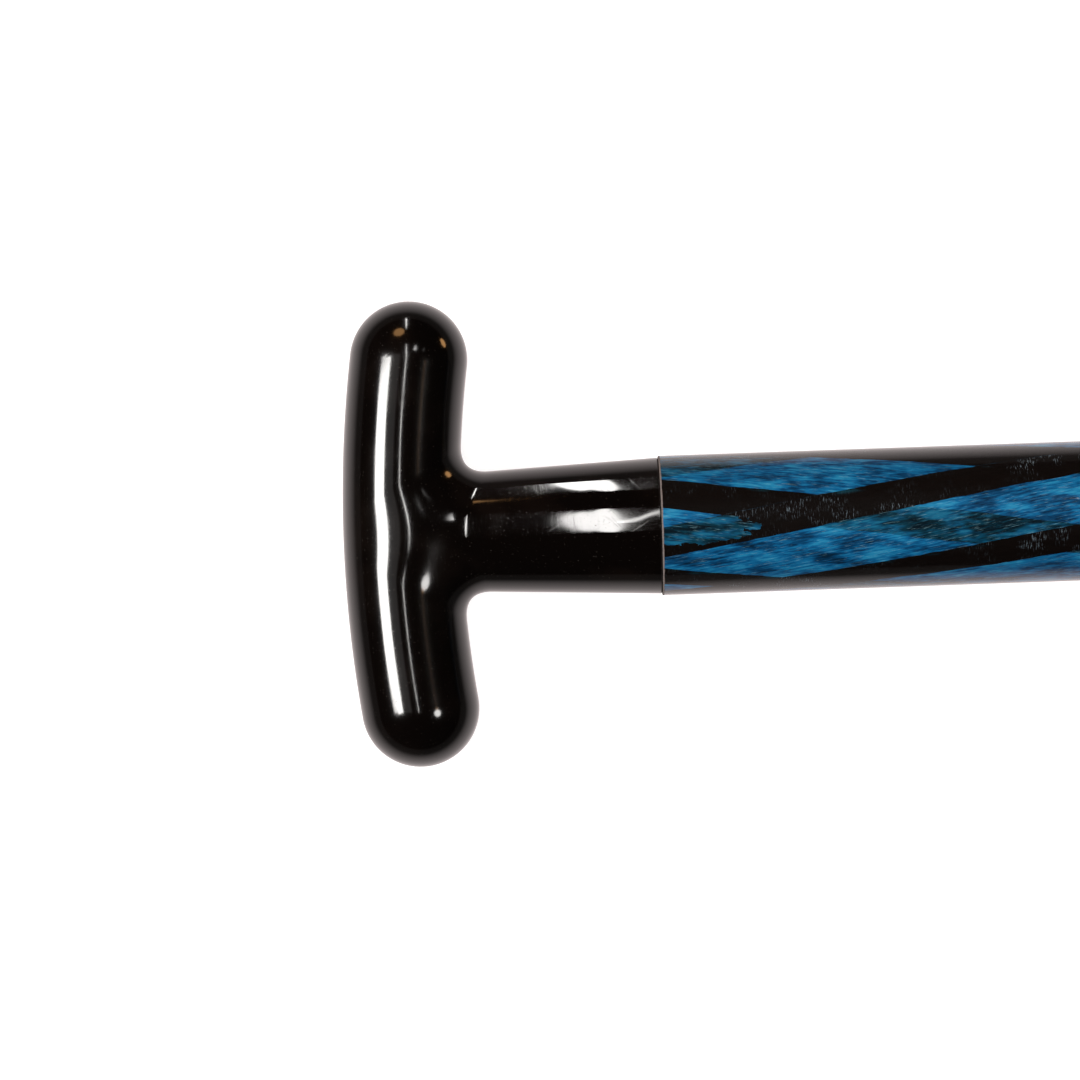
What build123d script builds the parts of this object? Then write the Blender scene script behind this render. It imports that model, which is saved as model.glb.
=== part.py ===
"""Single-blade canoe paddle with a T grip, lying flat.

The shaft runs along X, with the grip at -X and the tip of the blade at +X. The bar of the grip
and the width of the blade run along Y. Z is up. The origin is under the middle of the paddle,
on the surface that it lies on. All sizes are in millimetres.
"""

from build123d import *
import os
from math import asin, cos, degrees, sin

# ---------------------------------------------------------------- overall
overall_length = 1420.0

# ---------------------------------------------------------------- grip
grip_span = 99.8  # across the bar, tip to tip
bar_width = 25.2  # along the shaft
bar_depth = 27.4  # across the palm
bar_bend_radius = 260.0  # centreline of the bar, bowed away from the shaft
crown_to_shoulder = 67.9  # top of the grip to the end of the shaft
neck_inset = 0.75  # the neck leaves the bar this far inside its top and bottom
neck_fillet = 4.6
shoulder_step = 0.35  # the grip is this much smaller than the shaft, on the radius
shoulder_slope = 0.06  # rise of the neck where it meets the shaft
shoulder_chamfer = 0.35
grip_wall = 2.8
spigot_length = 48.0  # of the grip, inside the shaft
spigot_chamfer = 1.2
grip_glue_thickness = 0.2

# ---------------------------------------------------------------- shaft
shaft_diameter = 30.0
tube_wall = 1.1
braid_thickness = 0.4
clear_thickness = 0.3
bare_rim = 0.9  # the braid stops this far short of the end of the tube
rim_chamfer = 0.25
shaft_into_blade = 95.0

# ---------------------------------------------------------------- blade
blade_length = 480.0
blade_width = 200.0
root_slope = 0.12  # growth of the half width for each millimetre, at the root
root_pull = 60.0  # length of the outline's handle where it leaves the root
shoulder_pull = 200.0  # length of its handle from the widest place back to the shoulder
widest_run = 310.0  # root to the widest place
horn_slope = 0.20  # growth of the radius that rounds the root, for each millimetre
horn_margin = 14.0  # the horn opens this far beyond the edges at the widest place
flat_depth = 0.6  # the sides are flat once the horn stands this far outside them
tip_corner_length = 40.0  # the corner's handles stop this far short of the tip
tip_corner_width = 15.0  # and this far inside the edge
spine_full_run = 105.0  # root to where the spine starts to sink
spine_gone_run = 395.0  # root to where the spine has sunk into the panel
spine_margin = 0.5  # half width of the spine at the root, beyond the shaft
spine_tip_half_width = 11.0
spine_squareness = 5  # power of the spine's sides
panel_half_height = 4.4  # beside the spine, at the root
tip_half_height = 3.2  # middle of the panel at the tip
edge_half_height = 2.3
edge_fillet = 1.7
skin_thickness = 1.0
foam_cover = 1.5  # of the blade core, over the shaft
bond_thickness = 0.2  # adhesive between the shaft and the blade
collar_length = 45.0  # solid laminate at the root, before the foam and the edge band start
edge_band_width = 6.0
tip_guard_length = 62.0

# ---------------------------------------------------------------- stringer
tenon_length = 55.0  # of the stringer, inside the shaft
stringer_run = 250.0  # of the stringer, beyond the end of the shaft
stringer_ledge = 1.2  # step on the radius at the end of the shaft
stringer_end_radius = 2.0

# ---------------------------------------------------------------- fineness of the blade's surface
station_count = 13  # sections along the blade
side_points = 9  # points on each side of the spine in a section
side_crowding = 1.6  # above 1, the points crowd towards the spine
outline_margin = 5.0  # the sections reach this far beyond the edge, and are then trimmed
inset_steps = 12  # points along each curve of the plan inside the edge band

# ---------------------------------------------------------------- places and fits
shaft_radius = shaft_diameter / 2
braid_outer_radius = shaft_radius - clear_thickness
tube_outer_radius = braid_outer_radius - braid_thickness
bore_radius = tube_outer_radius - tube_wall
bond_outer_radius = shaft_radius + bond_thickness
root_radius = bond_outer_radius + skin_thickness
spine_half_height = bond_outer_radius + foam_cover + skin_thickness
spine_root_half_width = shaft_radius + spine_margin

crown_x = -overall_length / 2
tip_x = overall_length / 2
shoulder_x = crown_x + crown_to_shoulder
root_x = tip_x - blade_length
shaft_end_x = root_x + shaft_into_blade
shaft_length = shaft_end_x - shoulder_x
axis_height = spine_half_height  # the root of the blade is what touches the ground

widest_x = root_x + widest_run
plan_root_y = root_radius + flat_depth

spigot_radius = bore_radius - grip_glue_thickness
shoulder_radius = shaft_radius - shoulder_step
neck_radius = bar_depth / 2 - neck_inset
grip_bore_radius = min(neck_radius, spigot_radius) - grip_wall

bar_centre_x = crown_x + bar_width / 2
bar_turn_x = bar_centre_x + bar_bend_radius
cap_centre_y = (grip_span - bar_width) / 2
bar_half_angle = asin(cap_centre_y / bar_bend_radius)
cap_centre_x = bar_turn_x - bar_bend_radius * cos(bar_half_angle)

midplane = Plane.XY.offset(axis_height)
collar_plane = Plane.YZ.offset(root_x + collar_length)
guard_plane = Plane.YZ.offset(tip_x - tip_guard_length)
side_plane = Plane(origin=(0, 0, axis_height), x_dir=(1, 0, 0), z_dir=(0, -1, 0))
shaft_axis = Axis((0, 0, axis_height), (1, 0, 0))


def across(x):
    """Plane across the shaft at x, with its own x along Y and its own y along Z."""
    return Plane(origin=(x, 0, axis_height), x_dir=(0, 1, 0), z_dir=(1, 0, 0))


os.makedirs("parts", exist_ok=True)


# ================================================================ grip
def bowed_bar(width, depth):
    """Bowed bar of the grip, with rounded ends: a round bar, stretched to its depth."""
    cap_x_dir = (sin(bar_half_angle), cos(bar_half_angle), 0)
    end_plane = Plane(
        origin=(cap_centre_x, cap_centre_y, 0),
        x_dir=(-cos(bar_half_angle), sin(bar_half_angle), 0),
        z_dir=cap_x_dir,
    )
    cap_plane = Plane(origin=end_plane.origin, x_dir=cap_x_dir, z_dir=(0, 0, 1))
    with BuildPart() as bow:
        with BuildSketch(end_plane):
            Circle(width / 2)
        turn = Axis((bar_turn_x, 0, 0), (0, 0, 1))
        revolve(axis=turn, revolution_arc=degrees(2 * bar_half_angle))
    with BuildPart() as cap:
        with BuildSketch(cap_plane):
            with BuildLine():
                crown = CenterArc((0, 0), width / 2, 0, 90)
                Polyline(crown @ 1, (0, 0), crown @ 0)
            make_face()
        revolve(axis=Axis(cap_plane.origin, cap_x_dir))
    other_cap = cap.part.mirror(Plane.XZ)
    with BuildPart() as bar:
        add(bow.part)
        add(cap.part)
        add(other_cap)
        scale(by=(1, 1, depth / width))
    return Pos(0, 0, axis_height) * bar.part


outer_bar = bowed_bar(bar_width, bar_depth)
bar_hollow = bowed_bar(bar_width - 2 * grip_wall, bar_depth - 2 * grip_wall)

# Foam inside the grip: it fills the hollow of the bar and the bore of the neck and spigot.
with BuildPart() as grip_core:
    add(bar_hollow)
    with BuildSketch(across(bar_centre_x)):
        Circle(grip_bore_radius)
    extrude(amount=shoulder_x + spigot_length - bar_centre_x)
grip_core.part.label = "grip_core"
export_step(grip_core.part, "parts/grip_core.step")

# Moulded grip: bowed bar, flared neck and the spigot that plugs into the shaft.
with BuildPart() as grip_shell:
    add(outer_bar)
    with BuildSketch(side_plane):
        with BuildLine():
            neck_line = Spline(
                (bar_centre_x, neck_radius),
                (shoulder_x, shoulder_radius),
                tangents=((1, 0), (1, shoulder_slope)),
            )
            Polyline(neck_line @ 1, (shoulder_x, 0), (bar_centre_x, 0), neck_line @ 0)
        make_face()
    revolve(axis=shaft_axis)
    joint_edge = grip_shell.edges(Select.NEW).filter_by(GeomType.BSPLINE).sort_by(Axis.X)[0]
    fillet(joint_edge, neck_fillet)
    shoulder_edge = grip_shell.edges().filter_by(GeomType.CIRCLE).sort_by(Axis.X)[-1]
    chamfer(shoulder_edge, shoulder_chamfer)
    with BuildSketch(across(shoulder_x)):
        Circle(spigot_radius)
    extrude(amount=spigot_length)
    spigot_edge = grip_shell.edges().filter_by(GeomType.CIRCLE).sort_by(Axis.X)[-1]
    chamfer(spigot_edge, spigot_chamfer)
    add(grip_core.part, mode=Mode.SUBTRACT)
grip_shell.part.label = "grip_shell"
export_step(grip_shell.part, "parts/grip_shell.step")

# Hot-melt glue between the spigot and the bore of the shaft.
with BuildPart() as grip_glue:
    with BuildSketch(across(shoulder_x)):
        Circle(bore_radius)
        Circle(spigot_radius, mode=Mode.SUBTRACT)
    extrude(amount=spigot_length - spigot_chamfer)
grip_glue.part.label = "grip_glue"
export_step(grip_glue.part, "parts/grip_glue.step")

# ================================================================ shaft
with BuildPart() as shaft_tube:
    with BuildSketch(across(shoulder_x)):
        Circle(tube_outer_radius)
        Circle(bore_radius, mode=Mode.SUBTRACT)
    extrude(amount=shaft_length)
shaft_tube.part.label = "shaft_tube"
export_step(shaft_tube.part, "parts/shaft_tube.step")

# Braided sleeve of blue and black tows over the tube.
with BuildPart() as braided_sleeve:
    with BuildSketch(across(shoulder_x + bare_rim)):
        Circle(braid_outer_radius)
        Circle(tube_outer_radius, mode=Mode.SUBTRACT)
    extrude(amount=shaft_length - bare_rim)
braided_sleeve.part.label = "braided_sleeve"
export_step(braided_sleeve.part, "parts/braided_sleeve.step")

# Clear resin sleeve over the braid. It closes down on the tube at the bare rim.
with BuildPart() as clear_sleeve:
    with BuildSketch(across(shoulder_x)):
        Circle(shaft_radius)
        Circle(tube_outer_radius, mode=Mode.SUBTRACT)
    extrude(amount=shaft_length)
    outer_rims = clear_sleeve.edges().filter_by(GeomType.CIRCLE).group_by(SortBy.RADIUS)[-1]
    chamfer(outer_rims.sort_by(Axis.X)[0], rim_chamfer)
    add(braided_sleeve.part, mode=Mode.SUBTRACT)
clear_sleeve.part.label = "clear_sleeve"
export_step(clear_sleeve.part, "parts/clear_sleeve.step")

# Stringer: a round tenon in the end of the shaft, and a taper that stiffens the blade.
with BuildPart() as stringer:
    with BuildSketch(side_plane):
        with BuildLine():
            Polyline(
                (shaft_end_x - tenon_length, 0),
                (shaft_end_x - tenon_length, bore_radius),
                (shaft_end_x, bore_radius),
                (shaft_end_x, bore_radius - stringer_ledge),
                (shaft_end_x + stringer_run, stringer_end_radius),
                (shaft_end_x + stringer_run, 0),
                (shaft_end_x - tenon_length, 0),
            )
        make_face()
    revolve(axis=shaft_axis)
stringer.part.label = "stringer"
export_step(stringer.part, "parts/stringer.step")

# Adhesive between the shaft and the blade.
with BuildPart() as shaft_bond:
    with BuildSketch(across(root_x)):
        Circle(bond_outer_radius)
        Circle(shaft_radius, mode=Mode.SUBTRACT)
    extrude(amount=shaft_into_blade)
shaft_bond.part.label = "shaft_bond"
export_step(shaft_bond.part, "parts/shaft_bond.step")


# ================================================================ blade
def spine_share(run):
    """How much of the spine still stands, from 1 to 0, at a distance from the root.

    It sinks along a smooth step, whose slope and curvature are zero at both ends.
    """
    sunk = (run - spine_full_run) / (spine_gone_run - spine_full_run)
    sunk = min(max(sunk, 0), 1)
    return 1 - sunk**3 * (10 - 15 * sunk + 6 * sunk**2)


def section_points(run, skin):
    """Upper line of the blade at a distance from the root, lowered by a thickness of skin."""
    standing = spine_share(run)
    middle = panel_half_height + (tip_half_height - panel_half_height) * run / blade_length
    spine_half_width = spine_tip_half_width
    spine_half_width += (spine_root_half_width - spine_tip_half_width) * standing
    reach = blade_width / 2 + outline_margin
    points = []
    for step in range(-side_points, side_points + 1):
        part_way = step / side_points
        y = reach * part_way * abs(part_way) ** (side_crowding - 1)
        panel = edge_half_height + (middle - edge_half_height) * (1 - (y / reach) ** 2)
        spine = (spine_half_height - middle) * standing
        spine /= 1 + abs(y / spine_half_width) ** spine_squareness
        points.append((y, panel + spine - skin))
    return points


def blade_slab(skin):
    """Slab with the blade's thickness all along it, less a skin. Its outline is cut later."""
    with BuildPart() as slab:
        for station in range(station_count):
            run = blade_length * station / (station_count - 1)
            points = section_points(run, skin)
            with BuildSketch(across(root_x + run)):
                with BuildLine():
                    top = Spline(*points)
                    bottom = Spline(*[(y, -z) for y, z in points])
                    Line(top @ 0, bottom @ 0)
                    Line(top @ 1, bottom @ 1)
                make_face()
        loft()
    return slab.part


def root_horn():
    """Horn that rounds the root of the blade. It opens out beyond the edges."""
    open_radius = blade_width / 2 + horn_margin
    with BuildPart() as horn:
        with BuildSketch(side_plane):
            with BuildLine():
                Bezier(
                    (root_x, root_radius),
                    (root_x + root_pull, root_radius + root_pull * horn_slope),
                    (widest_x - shoulder_pull, open_radius),
                    (widest_x, open_radius),
                )
                Polyline(
                    (widest_x, open_radius),
                    (tip_x, open_radius),
                    (tip_x, 0),
                    (root_x, 0),
                    (root_x, root_radius),
                )
            make_face()
        revolve(axis=shaft_axis)
    return horn.part


def inset(curve, distance):
    """Points alongside a curve, at a distance to its right."""
    points = []
    for step in range(inset_steps + 1):
        at = step / inset_steps
        forward = curve % at
        points.append(curve @ at + Vector(forward.Y, -forward.X) * distance)
    return points


# Left edge of the blade: its flank, and then its tip.
with BuildLine() as left_edge:
    flank = Bezier(
        (root_x, plan_root_y),
        (root_x + root_pull, plan_root_y + root_pull * root_slope),
        (widest_x - shoulder_pull, blade_width / 2),
        (widest_x, blade_width / 2),
    )
    tip = Bezier(
        (widest_x, blade_width / 2),
        (tip_x - tip_corner_length, blade_width / 2),
        (tip_x, blade_width / 2 - tip_corner_width),
        (tip_x, 0),
    )

# Plan of the whole blade.
with BuildSketch(midplane) as blade_plan:
    with BuildLine():
        add(left_edge.line)
        mirror(about=Plane.XZ)
        Line((root_x, plan_root_y), (root_x, -plan_root_y))
    make_face()

# Plan inside the edge band.
with BuildSketch(midplane) as inner_plan:
    with BuildLine():
        inner_flank = Spline(inset(flank, edge_band_width), tangents=((1, root_slope), (1, 0)))
        Spline(inset(tip, edge_band_width), tangents=((1, 0), (0, -1)))
        mirror(about=Plane.XZ)
        Line(inner_flank @ 0, ((inner_flank @ 0).X, -(inner_flank @ 0).Y))
    make_face()

# Plan of the skins: out to the edge over the collar, and inside the edge band beyond it.
with BuildSketch(midplane) as collar_plan:
    add(blade_plan.sketch)
    split(bisect_by=collar_plane, keep=Keep.BOTTOM)
with BuildSketch(midplane) as skin_plan:
    add(inner_plan.sketch)
    add(collar_plan.sketch)

# Body of the whole blade, with rounded edges. Its pieces are cut from it.
with BuildPart() as blade_body:
    extrude(blade_plan.sketch, amount=2 * spine_half_height, both=True)
    add(blade_slab(0), mode=Mode.INTERSECT)
    add(root_horn(), mode=Mode.INTERSECT)
    long_edges = blade_body.edges().filter_by(lambda edge: edge.length > 2 * widest_run)
    fillet(long_edges.group_by(Axis.Z)[0] + long_edges.group_by(Axis.Z)[-1], edge_fillet)
    with BuildSketch(across(root_x)):
        Circle(bond_outer_radius)
    extrude(amount=shaft_into_blade, mode=Mode.SUBTRACT)
    add(stringer.part, mode=Mode.SUBTRACT)

# Space between the skins, beyond the collar.
with BuildPart() as core_space:
    add(blade_slab(skin_thickness))
    split(bisect_by=collar_plane, keep=Keep.TOP)

# Foam core of the blade, around the end of the shaft and the stringer.
with BuildPart() as blade_core:
    extrude(skin_plan.sketch, amount=2 * spine_half_height, both=True)
    add(blade_body.part, mode=Mode.INTERSECT)
    add(core_space.part, mode=Mode.INTERSECT)
blade_core.part.label = "blade_core"
export_step(blade_core.part, "parts/blade_core.step")

# Upper skin of laminate over the core. The lower skin is its mirror image.
with BuildPart() as upper_skin:
    extrude(skin_plan.sketch, amount=2 * spine_half_height)
    add(blade_body.part, mode=Mode.INTERSECT)
    add(core_space.part, mode=Mode.SUBTRACT)
upper_skin.part.label = "upper_skin"
export_step(upper_skin.part, "parts/upper_skin.step")
with BuildPart() as lower_skin:
    mirror(upper_skin.part, about=midplane)
lower_skin.part.label = "lower_skin"
export_step(lower_skin.part, "parts/lower_skin.step")

# Rope of resin and fibre that closes the edge of the blade, from the collar to the tip guard.
with BuildPart() as edge_ring:
    add(blade_body.part)
    split(bisect_by=collar_plane, keep=Keep.TOP)
    extrude(inner_plan.sketch, amount=2 * spine_half_height, both=True, mode=Mode.SUBTRACT)
with BuildPart() as left_edge_band:
    add(edge_ring.part)
    split(bisect_by=guard_plane, keep=Keep.BOTTOM)
    split(bisect_by=Plane.XZ, keep=Keep.BOTTOM)
left_edge_band.part.label = "left_edge_band"
export_step(left_edge_band.part, "parts/left_edge_band.step")
with BuildPart() as right_edge_band:
    mirror(left_edge_band.part, about=Plane.XZ)
right_edge_band.part.label = "right_edge_band"
export_step(right_edge_band.part, "parts/right_edge_band.step")

# Aluminium guard bonded round the tip.
with BuildPart() as tip_guard:
    add(edge_ring.part)
    split(bisect_by=guard_plane, keep=Keep.TOP)
tip_guard.part.label = "tip_guard"
export_step(tip_guard.part, "parts/tip_guard.step")
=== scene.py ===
# %% [markdown]
# # A T-grip canoe paddle
#
# This lesson dresses a single-blade paddle for a picture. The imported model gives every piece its
# place and size, in metres: the grip is at -X, the tip of the blade at +X, and Z is up. Each step
# says what a piece is on the real paddle, how it could be made, and why this way was chosen.

import bmesh
import bpy
import math
import numpy as np
from mathutils import Matrix, Vector


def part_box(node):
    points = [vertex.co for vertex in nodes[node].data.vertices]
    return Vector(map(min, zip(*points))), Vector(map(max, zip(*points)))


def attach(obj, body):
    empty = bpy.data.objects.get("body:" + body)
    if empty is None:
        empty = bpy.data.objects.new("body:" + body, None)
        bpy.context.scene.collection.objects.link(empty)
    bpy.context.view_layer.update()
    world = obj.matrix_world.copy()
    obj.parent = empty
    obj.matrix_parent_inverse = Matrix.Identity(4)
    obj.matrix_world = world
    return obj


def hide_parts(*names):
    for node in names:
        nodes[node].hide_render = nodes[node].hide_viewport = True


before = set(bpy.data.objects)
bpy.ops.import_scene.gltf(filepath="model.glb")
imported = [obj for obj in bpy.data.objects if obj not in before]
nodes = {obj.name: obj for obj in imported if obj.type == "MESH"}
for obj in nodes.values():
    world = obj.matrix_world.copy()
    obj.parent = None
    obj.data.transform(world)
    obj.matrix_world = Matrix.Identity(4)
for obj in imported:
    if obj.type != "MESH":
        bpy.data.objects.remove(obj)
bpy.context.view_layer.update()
MM = 0.001
print("loaded", len(nodes), "pieces")

# %% [markdown]
# The finishes depend on where things are: the braid starts at the end of the shaft, and the
# paddle's axis lies at one height all along it. Those places are read from the boxes of the
# pieces, so the looks follow the model if a size changes.

# %% Read the places that the looks need
shaft_low, shaft_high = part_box("clear_sleeve")
axis_y = (shaft_low.y + shaft_high.y) / 2
axis_z = (shaft_low.z + shaft_high.z) / 2
shaft_radius = (shaft_high.z - shaft_low.z) / 2
shoulder_x = shaft_low.x
root_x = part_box("upper_skin")[0].x
tip_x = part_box("tip_guard")[1].x
crown_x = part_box("grip_shell")[0].x
print(f"shaft radius {shaft_radius / MM:.1f} mm")
print(f"shaft from {shoulder_x / MM:.1f} to {root_x / MM:.1f} mm")

# %% [markdown]
# Shader maths is easier to read as sums than as nodes. A `Wire` wraps one output of a node and
# overloads the operators, and each operator adds the Math or Vector Math node that it stands for.
# The reflected forms, such as `__rsub__`, make `1 - mask` work too.


# %% A socket that can be added and multiplied
class Wire:
    """One output socket of a finish, which takes part in Python sums."""

    def __init__(self, finish, socket):
        self.finish = finish
        self.socket = socket

    def sum(self, operation, first, second=0.0):
        wires = [term for term in (first, second) if isinstance(term, Wire)]
        if any(wire.socket.type == "VECTOR" for wire in wires):
            return self.finish.node(
                "ShaderNodeVectorMath", {"operation": operation}, {0: first, 1: second}
            )
        return self.finish.node(
            "ShaderNodeMath", {"operation": operation}, {0: first, 1: second}
        )

    def __add__(self, other):
        return self.sum("ADD", self, other)

    __radd__ = __add__

    def __sub__(self, other):
        return self.sum("SUBTRACT", self, other)

    def __rsub__(self, other):
        return self.sum("SUBTRACT", other, self)

    def __mul__(self, other):
        return self.sum("MULTIPLY", self, other)

    __rmul__ = __mul__

    def __truediv__(self, other):
        return self.sum("DIVIDE", self, other)

    def __mod__(self, other):
        return self.sum("FLOORED_MODULO", self, other)

    def __pow__(self, other):
        return self.sum("POWER", self, other)

    def __lt__(self, other):
        return self.sum("LESS_THAN", self, other)

    def __gt__(self, other):
        return self.sum("GREATER_THAN", self, other)

    def __abs__(self):
        return self.sum("ABSOLUTE", self)


print("sums on wires are ready")

# %% [markdown]
# A `Finish` is one material: its node tree, the Principled shader at its end, and one method that
# adds any node. The method takes the type of the node, its settings, which have to be set first
# because they change its sockets, and then the values or wires of its sockets.


# %% A finish that adds nodes by name
class Finish:
    """A procedural material, and the way to add nodes to it."""

    def __init__(self, name):
        self.material = bpy.data.materials.new(name)
        self.material.use_nodes = True
        self.tree = self.material.node_tree
        self.shader = self.tree.nodes["Principled BSDF"]
        place = self.node("ShaderNodeTexCoord", output="Object")
        self.place = place
        split = {axis: self.node("ShaderNodeSeparateXYZ", {}, {0: place}, axis) for axis in "XYZ"}
        self.x, self.y, self.z = (split[axis] / MM for axis in "XYZ")

    def fill(self, socket, value):
        if isinstance(value, Wire):
            self.tree.links.new(value.socket, socket)
        elif socket.type == "RGBA":
            socket.default_value = (*value, 1.0)
        else:
            socket.default_value = value

    def node(self, kind, settings=None, sockets=None, output=0):
        made = self.tree.nodes.new(kind)
        for name, value in (settings or {}).items():
            setattr(made, name, value)
        for name, value in (sockets or {}).items():
            self.fill(made.inputs[name], value)
        return Wire(self, made.outputs[output])

    def set(self, **sockets):
        for name, value in sockets.items():
            self.fill(self.shader.inputs[name.replace("_", " ")], value)


print("finishes can be made")

# %% [markdown]
# A few moves come up in every finish: noise stretched along the grain of a material, a soft
# threshold, a mix of two colours, and a bump. They are small functions on top of the one method.
# Lengths inside a finish are in millimetres, because that is how a maker thinks of a weave.


# %% Moves that every finish uses
def vector(finish, x, y, z=0.0):
    return finish.node("ShaderNodeCombineXYZ", {}, {0: x, 1: y, 2: z})


def noise(finish, place, detail=2.0, roughness=0.5, scale=1.0):
    """Noise from about 0.25 to 0.75, with features one unit of place across."""
    sockets = {"Vector": place, "Scale": scale, "Detail": detail, "Roughness": roughness}
    return finish.node("ShaderNodeTexNoise", {}, sockets)


def ease(finish, value, low, high):
    """0 below low, 1 above high, and a smooth step between them."""
    sockets = {0: value, 1: low, 2: high}
    return finish.node("ShaderNodeMapRange", {"interpolation_type": "SMOOTHSTEP"}, sockets)


def mix(finish, share, first, second):
    """The first colour where share is 0, and the second where it is 1."""
    settings = {"data_type": "RGBA"}
    return finish.node("ShaderNodeMix", settings, {0: share, 6: first, 7: second}, 2)


def choose(finish, share, first, second):
    """The same as mix, for plain values."""
    return first + (second - first) * share


def bump(finish, height, distance):
    """A normal from a height of 0 to 1 that stands for a distance in millimetres."""
    sockets = {"Height": height, "Distance": distance * MM, "Strength": 1.0}
    return finish.node("ShaderNodeBump", {}, sockets)


def hairlines(finish, angle, spacing, length, amount):
    """Fine straight scratches seen from above, at an angle to the shaft, as a mask."""
    along = finish.x * math.cos(angle) + finish.y * math.sin(angle)
    across = finish.y * math.cos(angle) - finish.x * math.sin(angle)
    place = vector(finish, along / length, across / spacing, finish.z / length)
    return ease(finish, noise(finish, place, detail=0.0), 0.78 - amount, 0.80 - amount / 2)


print("helpers: vector, noise, ease, mix, choose, bump, hairlines")

# %% [markdown]
# The grip is moulded in black plastic and polished by hands. The colour is almost nothing: what
# the eye sees is the reflection. So the finish is a very dark, slightly warm base, a low
# roughness that rises where palms have dulled it, faint hairline scratches, and a long, shallow
# waviness that bends the highlights as a real moulding does.

# %% Grip: black gloss plastic
def grip_finish():
    black = Finish("grip_gloss_black")
    cloud = noise(black, vector(black, black.x / 14, black.y / 14, black.z / 14), detail=3)
    worn = ease(black, cloud, 0.46, 0.66)
    handled = hairlines(black, 1.52, 0.16, 14.0, 0.10) + hairlines(black, 1.70, 0.20, 9.0, 0.08)
    stray = hairlines(black, 0.55, 0.30, 7.0, 0.02) + hairlines(black, 2.35, 0.30, 6.0, 0.02)
    dulled = 1 - ease(black, black.x, shoulder_x / MM - 48, shoulder_x / MM - 36)
    speck_place = vector(black, black.x / 0.35, black.y / 0.35, black.z / 0.35)
    specks = ease(black, noise(black, speck_place, detail=1), 0.735, 0.76)
    base = mix(black, worn, (0.0016, 0.0009, 0.0007), (0.0035, 0.0021, 0.0016))
    wave = noise(black, vector(black, black.x / 11, black.y / 16, black.z / 11), detail=1)
    marks = handled * worn * 0.5 + stray * 0.5
    height = wave * 0.75 - marks * 0.012 - specks * 0.03
    black.set(
        Base_Color=mix(black, specks * 0.25, base, (0.10, 0.09, 0.08)),
        Roughness=0.035 + dulled * 0.075 + worn * 0.02 + marks * 0.06,
        IOR=1.5,
        Normal=bump(black, height, 0.045),
    )
    return black.material


gloss_black = grip_finish()
print("made", gloss_black.name)

# %% [markdown]
# The shaft wears a braided sleeve. Flat tows of blue and of black fibre wind round it both ways,
# five of each colour in each direction, and pass over and under each other. A braid could be
# modelled tow by tow, but it is pressed flat under clear resin, so what shows is a pattern. It is
# drawn in the coordinates of the weaver: the distance along the shaft, and the distance round it.

# %% Braid: the weaver's coordinates
circumference = 2 * math.pi * shaft_radius / MM
tows_of_a_colour = 5
tow_pitch = circumference / tows_of_a_colour  # one blue and one black tow
blue_share = 0.62  # of the pitch: the blue tows spread wider than the black
falling_slope = 0.1514  # millimetres round the shaft for each one along it
rising_slope = 0.1752
falling_start = -22.15  # upper edge of a blue tow, level with the end of the sleeve
rising_start = -12.42
sleeve_start = shoulder_x / MM - 1.1
print(f"tow pitch {tow_pitch:.2f} mm, blue {tow_pitch * blue_share:.1f} mm")


def round_the_shaft(finish):
    """Distance round the shaft from its top line, in millimetres, positive towards -Y."""
    up = finish.z - axis_z / MM
    angle = finish.node("ShaderNodeMath", {"operation": "ARCTAN2"}, {0: finish.y * -1, 1: up})
    return angle * (shaft_radius / MM)


# %% [markdown]
# A hand-fed braid is never quite even. Each set of tows is squeezed a little on one side of the
# shaft and spread on the other, and the edges of each tow wander. Each tow has a number, which
# says what lies on top where two cross, and its fibres show as fine streaks along it.


# %% Braid: one set of parallel tows
def sine(finish, value):
    return finish.node("ShaderNodeMath", {"operation": "SINE"}, {0: value})


def floor(finish, value):
    return finish.node("ShaderNodeMath", {"operation": "FLOOR"}, {0: value})


def tow_set(finish, along, around, slope, start, squeeze, squeezed_at, uneven, seed):
    """Tow number, blueness, distance from the tow's edge and streaks of one set of tows."""
    lean = math.hypot(1, slope)
    across = around + along * slope
    turn = 2 * math.pi / circumference
    across = across + sine(finish, (across - squeezed_at) * turn) * squeeze
    wander = noise(finish, vector(finish, along / 9, across / 3, seed), detail=3) - 0.5
    fray = noise(finish, vector(finish, along / 3, across / 0.5, seed), detail=1) - 0.5
    phase = (across - start + wander * 0.9 + fray * 0.35) / tow_pitch
    whole = floor(finish, phase)
    part = phase - whole
    share = sine(finish, whole * (2 * math.pi / tows_of_a_colour)) * uneven + blue_share
    is_black = part > share
    into_blue = (share / 2 - abs(part - share / 2)) * tow_pitch
    streak_place = vector(finish, along / (5 * lean), across / 0.5, seed)
    streaks = noise(finish, streak_place, detail=4, roughness=0.65)
    hair_place = vector(finish, along / (2.2 * lean), across / 0.13, seed + 0.5)
    fibre_glints = noise(finish, hair_place, detail=2)
    return {
        "number": whole * 2 + is_black,
        "blue": ease(finish, into_blue, -0.09, 0.09),
        "depth": abs(into_blue),
        "streaks": streaks,
        "fibre_glints": fibre_glints,
    }


print("one set of tows: number, blue, depth, streaks, hairs")

# %% [markdown]
# Where two tows cross, a repeat of forty crossings says which is on top. The blue fibre is thin
# enough to show what is under it: bright over blue, and a dark teal over black. The black fibre
# hides what it crosses, except near its edges. Little white flecks are painted glints on the
# fibres; they lie across the shaft in loose clusters. Pale lines along the blue tows are painted
# highlights.


# %% Braid: colours of the crossings
def loose_end(finish, along, around):
    """One tow of the falling set that springs up over its neighbours at the end of the sleeve."""
    fray = noise(finish, vector(finish, along / 2.5, around / 1.2, 7.0), detail=3)
    reach = (along - 6.0) / 15.0
    side = (around - 1.0) / 3.2
    return (reach * reach + side * side + (fray - 0.5) * 1.6) < 1.0


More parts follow.
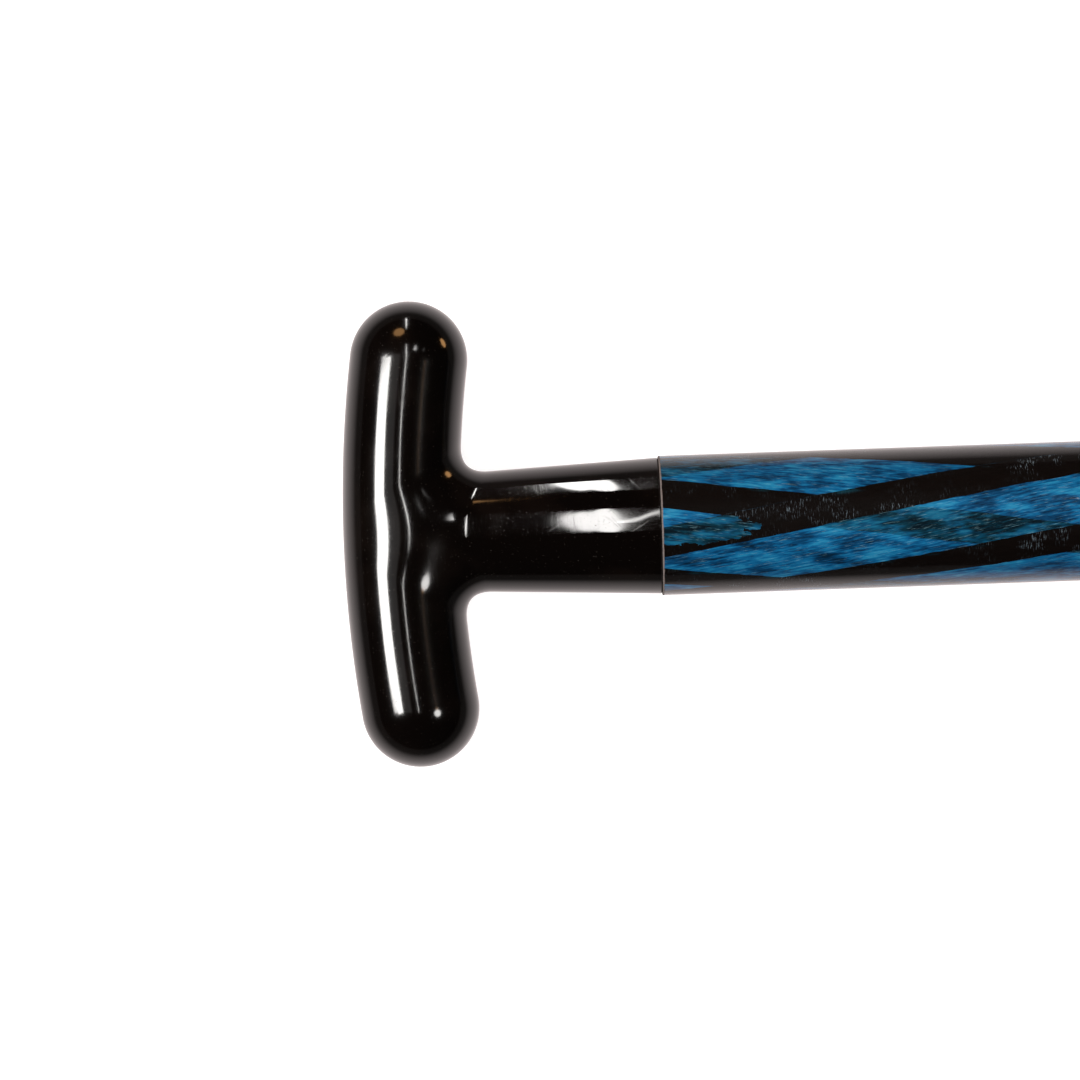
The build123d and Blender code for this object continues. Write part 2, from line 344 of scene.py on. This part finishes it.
def braid_colour(finish, along, around):
    """Colour of the braid, and how far it swells, at a distance along and round the shaft."""
    falling = tow_set(finish, along, around, -falling_slope, falling_start, 0.90, -12.7, 0.12, 3.0)
    rising = tow_set(finish, along, around, rising_slope, rising_start, 1.65, 16.0, 0.03, 11.0)
    order = (falling["number"] + rising["number"] * 15 + 33) % 40
    laid_first = (rising["number"] % 10) > 8.5
    rising_on_top = (order < 26) * (1 - laid_first)
    rising_on_top = rising_on_top * (1 - loose_end(finish, along, around))
    top = {k: choose(finish, rising_on_top, falling[k], rising[k]) for k in falling}
    under = {k: choose(finish, rising_on_top, rising[k], falling[k]) for k in falling}
    patch_place = vector(finish, along / 11, around / 3.2, 5.0)
    patches = noise(finish, patch_place, detail=3, roughness=0.6)
    tone = top["streaks"] * 0.45 + patches * 0.55
    stops = ((0.38, (0.001, 0.014, 0.036)), (0.45, (0.002, 0.040, 0.110)),
             (0.52, (0.004, 0.095, 0.230)), (0.60, (0.014, 0.180, 0.340)),
             (0.72, (0.090, 0.300, 0.420)))
    blue = stops[0][1]
    for (low, _), (high, colour) in zip(stops, stops[1:]):
        blue = mix(finish, ease(finish, tone, low, high), blue, colour)
    lit = ease(finish, tone, 0.40, 0.62)
    ghost = mix(finish, lit, (0.001, 0.006, 0.011), (0.003, 0.050, 0.085))
    seen_through = under["blue"] * 0.80 + ease(finish, patches, 0.42, 0.60) * 0.45
    blue = mix(finish, ease(finish, seen_through, 0.0, 1.0), ghost, blue)
    # Painted highlights: pale lines along the fibres of the top tow.
    pale = ease(finish, top["fibre_glints"], 0.60, 0.74)
    blue = mix(finish, pale * 0.5, blue, (0.18, 0.33, 0.38))
    thin = (1 - ease(finish, top["depth"], 0.1, 1.4)) * ease(finish, patches, 0.5, 0.7)
    black = mix(finish, top["streaks"], (0.0008, 0.0005, 0.0004), (0.005, 0.003, 0.0025))
    black = mix(finish, thin * under["blue"] * 0.55, black, (0.004, 0.052, 0.078))
    colour = mix(finish, top["blue"], black, blue)
    # Painted glints: small white flecks in loose clusters, mostly where black crosses black.
    cluster = ease(finish, noise(finish, vector(finish, along / 7, around / 6, 9.0)), 0.44, 0.62)
    dash = noise(finish, vector(finish, along / 0.28, around / 1.6, 2.0), detail=3, roughness=0.65)
    doubled = (1 - top["blue"]) * (1.15 - under["blue"])
    glint_flecks = ease(finish, dash, 0.53, 0.70) * cluster * doubled
    colour = mix(finish, glint_flecks * 0.7, colour, (0.13, 0.17, 0.20))
    swell = ease(finish, top["depth"], 0.0, 2.0) * 0.6 + top["streaks"] * 0.4
    return colour, swell


print("braid colours: 5 blue and 5 black tows each way")

# %% [markdown]
# The finished shaft has two surfaces: the braid, and clear resin over it. The Principled shader's
# coat does that: the bump of the tows goes to the base, and the coat keeps the smooth normal of
# the mesh. Where the sleeve stops short, the end of the tube is a frosted ring.


# %% Shaft: braid under clear resin
def shaft_finish():
    shaft = Finish("braid_under_resin")
    along = shaft.x - sleeve_start
    around = round_the_shaft(shaft)
    colour, swell = braid_colour(shaft, along, around)
    rim_wander = noise(shaft, vector(shaft, 0.0, around / 2.5), detail=2) * 0.35
    rim = 1 - ease(shaft, along - 1.1 + rim_wander, 0.45, 0.55)
    frost = noise(shaft, vector(shaft, along / 0.35, around / 0.35), detail=2)
    frosted = mix(shaft, frost, (0.06, 0.048, 0.044), (0.26, 0.22, 0.21))
    dust = ease(shaft, noise(shaft, vector(shaft, along / 2.2, around / 2.2), detail=4), 0.5, 0.75)
    shaft.set(
        Base_Color=mix(shaft, rim, colour, frosted),
        Roughness=choose(shaft, rim, 0.42 + dust * 0.15, 0.6),
        Coat_Weight=1 - rim,
        Coat_Roughness=0.04,
        Coat_IOR=1.5,
        IOR=1.35,
        Specular_IOR_Level=0.06,
        Normal=bump(shaft, swell, 0.05),
    )
    return shaft.material


braid_under_resin = shaft_finish()
print("made", braid_under_resin.name)

# %% [markdown]
# The shaft's outside is turned here as a lathe would do it: a profile of distances and radii is
# spun round the axis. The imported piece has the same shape, but this one has more segments, so the
# clear coat shows one unbroken reflection. The sharp edge of the rim is a tiny round.


# %% Shaft: turn the outside
def turned(name, profile, segments):
    """A surface of revolution round the paddle's axis, from (x, radius) pairs in metres."""
    shape = bmesh.new()
    rings = []
    for x, radius in profile:
        ring = []
        for step in range(segments):
            angle = 2 * math.pi * step / segments
            y = axis_y + radius * math.sin(angle)
            z = axis_z + radius * math.cos(angle)
            ring.append(shape.verts.new((x, y, z)))
        rings.append(ring)
    for near, far in zip(rings, rings[1:]):
        for step in range(segments):
            after = (step + 1) % segments
            shape.faces.new((near[step], far[step], far[after], near[after]))
    mesh = bpy.data.meshes.new(name)
    shape.normal_update()
    shape.to_mesh(mesh)
    shape.free()
    mesh.shade_smooth()
    piece = bpy.data.objects.new(name, mesh)
    bpy.context.scene.collection.objects.link(piece)
    return piece


rim_round = 0.25 * MM
bore_of_resin = 0.7 * MM  # thickness of braid and resin together
shaft_end_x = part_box("clear_sleeve")[1].x
profile = [(shoulder_x, shaft_radius - bore_of_resin)]
for step in range(7):
    angle = math.radians(90 * step / 6)
    profile.append((shoulder_x + rim_round * (1 - math.sin(angle)),
                    shaft_radius - rim_round * (1 - math.cos(angle))))
profile = [profile[0]] + sorted(profile[1:], key=lambda point: point[0])
profile.append((shoulder_x + rim_round + 0.03 * MM, shaft_radius))
for step in range(1, 61):
    profile.append((shoulder_x + rim_round + (shaft_end_x - shoulder_x - rim_round) * step / 60,
                    shaft_radius))
profile.append((shaft_end_x, shaft_radius - bore_of_resin))
shaft = turned("shaft_surface", profile, 256)
shaft.data.materials.append(braid_under_resin)
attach(shaft, "root")
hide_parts("clear_sleeve")
print("turned the shaft:", len(shaft.data.vertices), "points")

# %% [markdown]
# The grip is one moulding: a bowed bar with round ends, and a neck that flows out of it. Gloss
# shows every dent, so the shape is given by a rule, not by hand: the distance to the bar and the
# distance to the cone of the neck, joined by a smooth minimum that makes the hollow between them.
# First the rule, in millimetres from the paddle's axis.

# %% Grip: the rule of its shape
grip_low, grip_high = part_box("grip_shell")
bar_half_width = 12.6
bar_half_depth = (grip_high.z - axis_z) / MM - 0.9  # the hollow raises the crown by this much
bar_half_span = (grip_high.y - grip_low.y) / 2 / MM
bow_radius = 260.0
bar_x = crown_x / MM + bar_half_width
turn_x = bar_x + bow_radius
half_bow = math.asin((bar_half_span - bar_half_width) / bow_radius)
neck_end_x = shoulder_x / MM
neck_end_radius = shaft_radius / MM - 0.38
neck_taper = 0.0453
neck_start_x = bar_x + 6.5  # the cone of the neck starts with a round end inside the bar
hollow = 6.0  # millimetres over which the bar and the neck flow together


def grip_distance(points):
    """How far points are outside the grip, from an array of x, y and height above the axis."""
    x, y, z = points.T
    bow = np.clip(np.arctan2(y, turn_x - x), -half_bow, half_bow)
    from_line = np.hypot(x - turn_x + bow_radius * np.cos(bow), y - bow_radius * np.sin(bow))
    bar = np.hypot(from_line, z * bar_half_width / bar_half_depth) - bar_half_width
    middle = np.maximum(x + np.hypot(y, z) * neck_taper, neck_start_x)
    radius = neck_end_radius - (neck_end_x - middle) * neck_taper
    neck = np.sqrt((x - middle) ** 2 + y**2 + z**2) - radius
    share = np.maximum(hollow - np.abs(bar - neck), 0) / hollow
    return np.minimum(bar, neck) - share**2 * hollow / 4


def grip_slope(points):
    """Gradient of the rule at each point, which also gives the surface's true normal."""
    step = 0.01
    moves = np.eye(3) * step
    rises = [grip_distance(points + move) - grip_distance(points - move) for move in moves]
    return np.array(rises).T / (2 * step)


print(f"bar {2 * bar_half_span:.1f} mm, neck ends at radius {neck_end_radius:.2f} mm")

# %% [markdown]
# Now the mesh. A rough bar and a rough neck are joined by a voxel remesh, which gives one even
# skin of small faces. Its points are then slid onto the rule by a few Newton steps, and the
# normals are taken from the rule, so the reflections are as smooth as the rule itself. The plane
# end is cut afterwards, and the lip and the spigot are turned on the lathe.


# %% Grip: mould the mesh
def rough_bar():
    """Rings along the bow of the bar, closed at both ends."""
    shape = bmesh.new()
    stations = [-1.0, -0.97, -0.9, -0.75, -0.4, 0.0, 0.4, 0.75, 0.9, 0.97, 1.0]
    rings = []
    straight = bar_half_span - bar_half_width
    for station in stations:
        y = station * (bar_half_span - 0.4)
        into_cap = max(abs(y) - straight, 0) / bar_half_width
        radius = bar_half_width * math.sqrt(max(1 - into_cap**2, 0.002))
        x = turn_x - math.sqrt(bow_radius**2 - min(abs(y), straight) ** 2)
        ring = []
        for step in range(32):
            angle = 2 * math.pi * step / 32
            place = (x + radius * math.cos(angle), y, radius * math.sin(angle))
            ring.append(shape.verts.new(place))
        rings.append(ring)
    for near, far in zip(rings, rings[1:]):
        for step in range(32):
            after = (step + 1) % 32
            shape.faces.new((near[step], near[after], far[after], far[step]))
    shape.faces.new(rings[0])
    shape.faces.new(rings[-1])
    return shape


def rough_neck(shape):
    """A closed drum for the neck, a little longer than it is."""
    rings = []
    for x in (bar_x, neck_end_x + 3):
        ring = []
        for step in range(32):
            angle = 2 * math.pi * step / 32
            radius = neck_end_radius - 1
            ring.append(shape.verts.new((x, radius * math.cos(angle), radius * math.sin(angle))))
        rings.append(ring)
    for step in range(32):
        after = (step + 1) % 32
        shape.faces.new((rings[0][step], rings[0][after], rings[1][after], rings[1][step]))
    shape.faces.new(rings[0])
    shape.faces.new(rings[1])
    return shape


def remeshed(shape, voxel):
    """The same solid as one even skin of small quads."""
    bmesh.ops.recalc_face_normals(shape, faces=shape.faces)
    mesh = bpy.data.meshes.new("rough_grip")
    shape.to_mesh(mesh)
    shape.free()
    rough = bpy.data.objects.new("rough_grip", mesh)
    bpy.context.scene.collection.objects.link(rough)
    skin = rough.modifiers.new("skin", "REMESH")
    skin.mode = "VOXEL"
    skin.voxel_size = voxel
    seen = rough.evaluated_get(bpy.context.evaluated_depsgraph_get())
    result = bpy.data.meshes.new_from_object(seen)
    bpy.data.objects.remove(rough)
    return result


skin = remeshed(rough_neck(rough_bar()), 0.9)
shape = bmesh.new()
shape.from_mesh(skin)
points = np.array([vertex.co for vertex in shape.verts])
for _ in range(8):
    slope = grip_slope(points)
    steepness = np.maximum((slope**2).sum(1), 0.2)
    points -= slope * (grip_distance(points) / steepness)[:, None]
for vertex, point in zip(shape.verts, points):
    vertex.co = point
lip = 0.3
geometry = shape.verts[:] + shape.edges[:] + shape.faces[:]
bmesh.ops.bisect_plane(shape, geom=geometry, dist=1e-5, plane_co=(neck_end_x - lip, 0, 0),
                       plane_no=(1, 0, 0), clear_outer=True)
mesh = bpy.data.meshes.new("grip_moulding")
shape.to_mesh(mesh)
shape.free()
mesh.shade_smooth()
points = np.array([vertex.co for vertex in mesh.vertices])
slope = grip_slope(points)
normals = slope / np.linalg.norm(slope, axis=1)[:, None]
for vertex, point in zip(mesh.vertices, points):
    vertex.co = (point[0] * MM, axis_y + point[1] * MM, axis_z + point[2] * MM)
mesh.normals_split_custom_set_from_vertices(normals)
grip = bpy.data.objects.new("grip_moulding", mesh)
bpy.context.scene.collection.objects.link(grip)
grip.data.materials.append(gloss_black)
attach(grip, "root")
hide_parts("grip_shell")
print("moulded the grip:", len(mesh.vertices), "points, error",
      f"{np.abs(grip_distance(points)).max():.4f} mm")

# %% [markdown]
# The shoulder of the grip has a small bevel, and a spigot beyond it that the shaft hides.

# %% Grip: shoulder and spigot
spigot_radius = 13.0 * MM
spigot_end_x = grip_high.x
lip_edge = shoulder_x - lip * MM
edge_radius = (neck_end_radius - lip * neck_taper) * MM
corners = [(lip_edge, edge_radius), (shoulder_x - 0.02 * MM, edge_radius - lip * MM),
           (shoulder_x - 0.02 * MM, spigot_radius), (spigot_end_x - 1.2 * MM, spigot_radius),
           (spigot_end_x, spigot_radius - 1.2 * MM), (spigot_end_x, 2 * MM)]
shoulder = turned("grip_shoulder", corners, 128)
shoulder.data.shade_flat()
shoulder.data.materials.append(gloss_black)
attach(shoulder, "root")
print("turned the shoulder and spigot of the grip")

# %% [markdown]
# The blade's skins are laminate with a woven outer ply. In a two-by-two twill each tow passes
# over two and under two, one step further along in each row, which makes the diagonal ribs. Tows
# along the paddle and tows across it catch the light differently, and this is painted as two
# tones: a painted reflection on the lengthwise tows. Painted shade darkens the grooves between
# tows.


# %% Blade: woven laminate
def twill(finish, tow):
    """Tone and height of a two-by-two twill of tows this many millimetres wide."""
    column = floor(finish, finish.x / tow)
    row = floor(finish, finish.y / tow)
    lengthwise = ((column + row) % 4) < 2
    over_x = finish.x / tow - column
    over_y = finish.y / tow - row
    side = choose(finish, lengthwise, over_x, over_y)
    crown = 1 - abs(side - 0.5) * 2
    fibre_place_x = vector(finish, finish.x / 9, finish.y / 0.14)
    fibre_place_y = vector(finish, finish.x / 0.14, finish.y / 9, 4.0)
    fibres = choose(
        finish,
        lengthwise,
        noise(finish, fibre_place_y, detail=1),
        noise(finish, fibre_place_x, detail=1),
    )
    return lengthwise, ease(finish, crown, 0.0, 0.55), fibres


def blade_finish():
    blade = Finish("blade_woven_laminate")
    lengthwise, crown, fibres = twill(blade, 2.4)
    cloud = noise(blade, vector(blade, blade.x / 60, blade.y / 60), detail=3)
    # Painted reflection: the lengthwise tows get a lighter tone than the crosswise ones.
    along = mix(blade, fibres, (0.010, 0.011, 0.012), (0.050, 0.052, 0.056))
    over = mix(blade, fibres, (0.003, 0.0032, 0.0036), (0.018, 0.019, 0.021))
    weave = mix(blade, lengthwise, over, along)
    # Painted shade: the grooves at the edges of each tow are darkened.
    weave = mix(blade, (1 - crown) * 0.7, weave, (0.002, 0.002, 0.002))
    weave = mix(blade, ease(blade, cloud, 0.40, 0.70) * 0.25, weave, (0.030, 0.028, 0.026))
    scratches = hairlines(blade, 0.12, 0.5, 60.0, 0.06) + hairlines(blade, 2.9, 0.6, 45.0, 0.05)
    to_tip = ease(blade, blade.x, root_x / MM + 180, tip_x / MM)
    scuffs = scratches * (0.15 + to_tip * 0.6)
    blade.set(
        Base_Color=mix(blade, scuffs * 0.35, weave, (0.22, 0.22, 0.22)),
        Roughness=0.30 + fibres * 0.2 + scuffs * 0.25,
        Specular_IOR_Level=0.2,
        Coat_Weight=0.9 - scuffs * 0.5,
        Coat_Roughness=0.09,
        Coat_IOR=1.5,
        Normal=bump(blade, crown * 0.7 + fibres * 0.3, 0.12),
    )
    return blade.material


woven_laminate = blade_finish()
print("made", woven_laminate.name)

# %% [markdown]
# The edge of the blade is closed by a rope of resin and fibre. It is sanded smooth, so it is
# satin rather than glossy, with short pale fibres showing and small nicks from stones.


# %% Edge bands: sanded resin and fibre
def edge_finish():
    edge = Finish("edge_sanded_resin")
    short = noise(edge, vector(edge, edge.x / 2.5, edge.y / 0.5, edge.z / 0.5), detail=3)
    nicks = noise(edge, vector(edge, edge.x / 1.1, edge.y / 1.1, edge.z / 1.1), detail=4)
    nicked = ease(edge, nicks, 0.64, 0.72)
    resin = mix(edge, ease(edge, short, 0.42, 0.66), (0.008, 0.0075, 0.007), (0.040, 0.038, 0.035))
    edge.set(
        Base_Color=mix(edge, nicked * 0.6, resin, (0.13, 0.125, 0.12)),
        Roughness=0.42 + short * 0.25,
        Normal=bump(edge, short * 0.4 - nicked * 0.6, 0.10),
    )
    return edge.material


sanded_resin = edge_finish()
print("made", sanded_resin.name)

# %% [markdown]
# The tip guard is a strip of aluminium bonded round the end of the blade. It takes every knock:
# the brushed grain runs across the paddle, and scrapes along the paddle cut through it, bright
# where they are fresh and dull grey where the metal has weathered.


# %% Tip guard: scraped aluminium
def guard_finish():
    guard = Finish("guard_scraped_aluminium")
    grain = noise(guard, vector(guard, guard.x / 0.12, guard.y / 14, guard.z / 2), detail=3)
    weather = noise(guard, vector(guard, guard.x / 7, guard.y / 7, guard.z / 7), detail=4)
    dull = ease(guard, weather, 0.45, 0.68)
    scrapes = hairlines(guard, 0.25, 0.35, 9.0, 0.12) + hairlines(guard, 2.7, 0.45, 12.0, 0.10)
    pits = ease(guard, noise(guard, guard.place, detail=3, scale=900.0), 0.62, 0.70)
    metal = mix(guard, grain, (0.46, 0.47, 0.48), (0.70, 0.71, 0.72))
    metal = mix(guard, dull * 0.55, metal, (0.30, 0.31, 0.32))
    metal = mix(guard, scrapes * 0.5, metal, (0.85, 0.86, 0.87))
    guard.set(
        Base_Color=mix(guard, pits * 0.5, metal, (0.12, 0.12, 0.12)),
        Metallic=1.0,
        Roughness=0.26 + grain * 0.14 + dull * 0.18,
        Normal=bump(guard, grain * 0.25 - scrapes * 0.35 - pits * 0.4, 0.08),
    )
    return guard.material


scraped_aluminium = guard_finish()
print("made", scraped_aluminium.name)

# %% [markdown]
# Closed-cell foam fills the grip and the blade. It is a mass of tiny bubbles, which a Voronoi
# texture draws: each cell is pale in the middle and darker along its walls.


# %% Foam: closed cells
def foam_finish():
    foam = Finish("foam_closed_cell")
    sockets = {"Vector": foam.place, "Scale": 1100.0}
    cells = foam.node("ShaderNodeTexVoronoi", {"feature": "DISTANCE_TO_EDGE"}, sockets)
    wall = ease(foam, cells, 0.0, 0.18)
    cloud = noise(foam, foam.place, detail=3, scale=60.0)
    pale = mix(foam, cloud, (0.62, 0.50, 0.30), (0.80, 0.70, 0.48))
    foam.set(
        Base_Color=mix(foam, wall, (0.40, 0.30, 0.16), pale),
        Roughness=0.75 + cloud * 0.2,
        Normal=bump(foam, wall, 0.25),
    )
    return foam.material


closed_cell = foam_finish()
print("made", closed_cell.name)

# %% [markdown]
# The stringer is cedar. Its rings are nearly flat sheets where it is cut, so the grain is a set
# of bands across the wood, drawn out along it and bent a little by noise, with fine pores.


# %% Stringer: cedar
def cedar_finish():
    cedar = Finish("stringer_cedar")
    bend = noise(cedar, vector(cedar, cedar.x / 120, cedar.y / 18, cedar.z / 18), detail=2)
    rings = sine(cedar, (cedar.y * 0.35 + cedar.z + bend * 9) * 3.6)
    late = ease(cedar, rings, 0.1, 0.95)
    pores = noise(cedar, vector(cedar, cedar.x / 5, cedar.y / 0.12, cedar.z / 0.12), detail=2)
    wood = mix(cedar, late, (0.55, 0.27, 0.12), (0.26, 0.095, 0.035))
    cedar.set(
        Base_Color=mix(cedar, ease(cedar, pores, 0.52, 0.70) * 0.6, wood, (0.15, 0.06, 0.025)),
        Roughness=0.5 + pores * 0.25,
        Normal=bump(cedar, pores * 0.6 + late * 0.4, 0.12),
    )
    return cedar.material


cedar_grain = cedar_finish()
print("made", cedar_grain.name)

# %% [markdown]
# Glue and thickened adhesive are cloudy, with bubbles caught in them. The hot-melt in the grip
# is milky, and the adhesive in the blade is grey with filler: one recipe with two colours.


# %% Adhesives: cloudy, with bubbles
def adhesive_finish(name, thin, thick):
    glue = Finish(name)
    sockets = {"Vector": glue.place, "Scale": 420.0}
    bubbles = glue.node("ShaderNodeTexVoronoi", {}, sockets, "Distance")
    caught = 1 - ease(glue, bubbles, 0.12, 0.22)
    cloud = noise(glue, glue.place, detail=4, scale=180.0)
    body = mix(glue, ease(glue, cloud, 0.35, 0.65), thin, thick)
    glue.set(
        Base_Color=mix(glue, caught * 0.5, body, (0.85, 0.84, 0.80)),
        Roughness=0.35 + cloud * 0.3,
        Normal=bump(glue, cloud * 0.5 - caught * 0.5, 0.12),
    )
    return glue.material


hot_melt = adhesive_finish("glue_milky", (0.62, 0.55, 0.38), (0.78, 0.73, 0.60))
filled_adhesive = adhesive_finish("adhesive_filled_grey", (0.16, 0.17, 0.18), (0.30, 0.31, 0.32))
print("made", hot_melt.name, "and", filled_adhesive.name)

# %% [markdown]
# Under the braid is a tube of glass laminate. Its fibres run along it and round it, and the resin
# between them is a dull green-grey. The braided sleeve itself uses the braid's own pattern again,
# without the coat, because this is the same cloth before the clear resin goes over it.


# %% Tube and bare braid
def tube_finish():
    tube = Finish("tube_glass_laminate")
    around = round_the_shaft(tube)
    along_fibres = noise(tube, vector(tube, tube.x / 12, around / 0.25), detail=2)
    hoop_fibres = noise(tube, vector(tube, tube.x / 0.6, around / 12, 3.0), detail=2)
    tone = along_fibres * 0.65 + hoop_fibres * 0.35
    tube.set(
        Base_Color=mix(tube, ease(tube, tone, 0.35, 0.65), (0.09, 0.11, 0.08), (0.32, 0.35, 0.27)),
        Roughness=0.38 + tone * 0.25,
        Normal=bump(tube, tone, 0.08),
    )
    return tube.material


def bare_braid_finish():
    braid = Finish("braid_bare")
    along = braid.x - sleeve_start
    colour, swell = braid_colour(braid, along, round_the_shaft(braid))
    braid.set(Base_Color=colour, Roughness=0.45 + swell * 0.2, Normal=bump(braid, swell, 0.10))
    return braid.material


glass_laminate = tube_finish()
bare_braid = bare_braid_finish()
print("made", glass_laminate.name, "and", bare_braid.name)

# %% [markdown]
# The imported pieces have the right shapes already, so they only need their finishes.

# %% Dress the imported pieces
finish_of = {
    "grip_shell": gloss_black,
    "grip_core": closed_cell,
    "grip_glue": hot_melt,
    "shaft_tube": glass_laminate,
    "braided_sleeve": bare_braid,
    "clear_sleeve": braid_under_resin,
    "stringer": cedar_grain,
    "shaft_bond": filled_adhesive,
    "blade_core": closed_cell,
    "upper_skin": woven_laminate,
    "lower_skin": woven_laminate,
    "left_edge_band": sanded_resin,
    "right_edge_band": sanded_resin,
    "tip_guard": scraped_aluminium,
}
for name, material in finish_of.items():
    mesh = nodes[name].data
    mesh.materials.clear()
    mesh.materials.append(material)
print("dressed", len(finish_of), "pieces")

# %% [markdown]
# The paddle lies on a plain pale floor that glows a little, like a light table. It gives a clean
# white ground, and the undersides of glossy round pieces pick it up as a pale line along each
# edge. The world is dark to reflections, so the black stays black, and pale to the camera.


# %% Floor and surroundings
floor_gap = 0.4 * MM  # the paddle just clears the floor


def pale_floor(size):
    """A wide flat sheet, just under the paddle."""
    shape = bmesh.new()
    bmesh.ops.create_grid(shape, x_segments=24, y_segments=24, size=size / 2)
    mesh = bpy.data.meshes.new("floor")
    shape.to_mesh(mesh)
    shape.free()
    sheet = bpy.data.objects.new("floor", mesh)
    bpy.context.scene.collection.objects.link(sheet)
    sheet.location.z = -floor_gap
    return sheet


floor_sheet = pale_floor(12.0)
floor_paint = Finish("floor_pale")
mottle = noise(floor_paint, floor_paint.place, detail=2, scale=3.0)
to_camera = floor_paint.node("ShaderNodeLightPath", output="Is Camera Ray")
travelled = floor_paint.node("ShaderNodeLightPath", output="Ray Length")
# To rays from the paddle the floor is a painted glow: pale pink within about a tenth of a metre,
# dark beyond, and it bounces almost no light; this glow makes the pale edges on the gloss.
pool = 1 - ease(floor_paint, travelled, 0.010, 0.110)
glow = mix(floor_paint, pool, (0.030, 0.026, 0.025), (1.00, 0.89, 0.88))
paint = mix(floor_paint, mottle, (0.38, 0.38, 0.38), (0.42, 0.42, 0.42))
floor_paint.set(
    Base_Color=mix(floor_paint, to_camera, (0.04, 0.04, 0.04), paint),
    Roughness=0.9,
    Specular_IOR_Level=0.0,
    Emission_Color=mix(floor_paint, to_camera, glow, (0.93, 0.92, 0.915)),
    Emission_Strength=1.0,
)
floor_sheet.data.materials.append(floor_paint.material)

world = bpy.data.worlds.new("studio")
bpy.context.scene.world = world
world.use_nodes = True
sky = world.node_tree
sky_light = sky.nodes["Background"]
sky_light.inputs["Color"].default_value = (1.0, 0.97, 0.95, 1.0)
seen = sky.nodes.new("ShaderNodeLightPath")
level = sky.nodes.new("ShaderNodeMapRange")
level.inputs["To Min"].default_value = 0.012
level.inputs["To Max"].default_value = 1.0
sky.links.new(seen.outputs["Is Camera Ray"], level.inputs["Value"])
sky.links.new(level.outputs["Result"], sky_light.inputs["Strength"])
print("floor", floor_sheet.dimensions.x, "m across")

# %% [markdown]
# Glossy black is lit by what it reflects. A square light stands on the outer side of the bar and
# draws the long white line down it. A narrow oval strip overhead and another low on the far side
# make the two short marks on the neck. Dim amber lamps put warm patches on the bar.
# A small round box beyond the inner side makes the dot on the end of the bar and the soft gleam in
# the hollow where the bar meets the neck. Each light is placed by its offset from what it lights.


# %% Lights round the grip
def soft_light(name, target, offset, size, radiance, colour, spread=180, shape="RECTANGLE"):
    """A flat light that faces a point, at an offset from it. Its size is level, then upward."""
    data = bpy.data.lights.new(name, "AREA")
    data.shape = shape
    data.size, data.size_y = size
    data.energy = radiance * math.pi * size[0] * size[1]
    data.color = colour
    data.spread = math.radians(spread)
    light = bpy.data.objects.new(name, data)
    light.location = target + Vector(offset)
    facing = Vector(offset).normalized()
    level = Vector((0, 0, 1)).cross(facing).normalized()
    upward = facing.cross(level)
    light.rotation_euler = Matrix((level, upward, facing)).transposed().to_euler()
    light.visible_camera = False
    bpy.context.scene.collection.objects.link(light)
    return light


bar_middle = Vector((crown_x + bar_half_width * MM, axis_y, axis_z))
neck_middle = Vector((shoulder_x - 11 * MM, axis_y, axis_z))
white = (1.0, 0.98, 0.96)
amber = (1.0, 0.52, 0.20)
soft_light("strip_outer", bar_middle, (-0.84, 0.0, 0.86), (0.42, 0.42), 34.0, white)
soft_light("strip_outer_soft", bar_middle, (-0.50, 0.05, 1.08), (0.45, 0.40), 0.5, white)
short_of_neck = neck_middle + Vector((-0.072, 0.0, 0.0))
overhead = (0.0, 0.19, 0.90)
soft_light("strip_overhead", short_of_neck, overhead, (0.024, 0.70), 20.0, white, 180, "ELLIPSE")
soft_light("glint_overhead", short_of_neck, (0.021, 0.28, 0.90), (0.006, 0.36), 20.0, white)
far_side = (0.017, 0.90, 0.12)
soft_light("panel_far", short_of_neck, far_side, (0.022, 0.56), 22.0, white, 180, "ELLIPSE")
soft_light("box_inner", bar_middle, (0.61, -0.19, 0.78), (0.24, 0.24), 14.0, white, 180, "ELLIPSE")
soft_light("lamp_end", bar_middle, (-0.24, 0.87, 0.50), (0.34, 0.30), 4.0, amber, 180, "ELLIPSE")
soft_light("lamp_side", bar_middle, (0.90, 0.43, 0.06), (0.24, 0.16), 6.0, amber, 180, "ELLIPSE")
soft_light("glint_amber", bar_middle, (0.55, -0.06, 0.73), (0.08, 0.09), 2.2, amber, 180, "ELLIPSE")
print("nine lights round the grip")

# %% [markdown]
# The blade is more than a metre from the grip, so it has a soft box of its own. Its spread is
# narrow, as with a honeycomb grid on a real box, so the grip hardly sees it.

# %% Lights over the shaft and the blade
blade_middle = Vector(((root_x + tip_x) / 2, axis_y, axis_z))
shaft_middle = Vector(((shoulder_x + root_x) / 2, axis_y, axis_z))
soft_light("box_blade", blade_middle, (0.27, 0.55, 1.2), (0.9, 0.7), 0.9, white, 50)
soft_light("box_shaft", shaft_middle, (0.22, 0.50, 1.2), (0.7, 0.4), 0.4, white, 24)
print("two soft boxes over the shaft and the blade")

# %% [markdown]
# The camera looks straight down on the grip end. It is turned by two degrees, so the shaft climbs
# a little to the right, and a long lens from 0.9 m keeps the round parts from looking swollen.

# %% Camera
view_width = 0.2314
camera_distance = 0.9
lens = bpy.data.cameras.new("camera")
lens.sensor_width = 36.0
lens.lens = lens.sensor_width * camera_distance / view_width
lens.dof.use_dof = False
camera = bpy.data.objects.new("camera", lens)
bpy.context.scene.collection.objects.link(camera)
camera.location = (shoulder_x - 25.8 * MM, axis_y - 2.2 * MM, axis_z + camera_distance)
camera.rotation_euler = (0.0, 0.0, math.radians(-2.0))
bpy.context.scene.camera = camera
bpy.context.scene.view_settings.view_transform = "Standard"
print(f"lens {lens.lens:.0f} mm at {camera_distance} m")

# %% [markdown]
# Last, the frame is finished.

# %% Finish
print("the frame is finished")
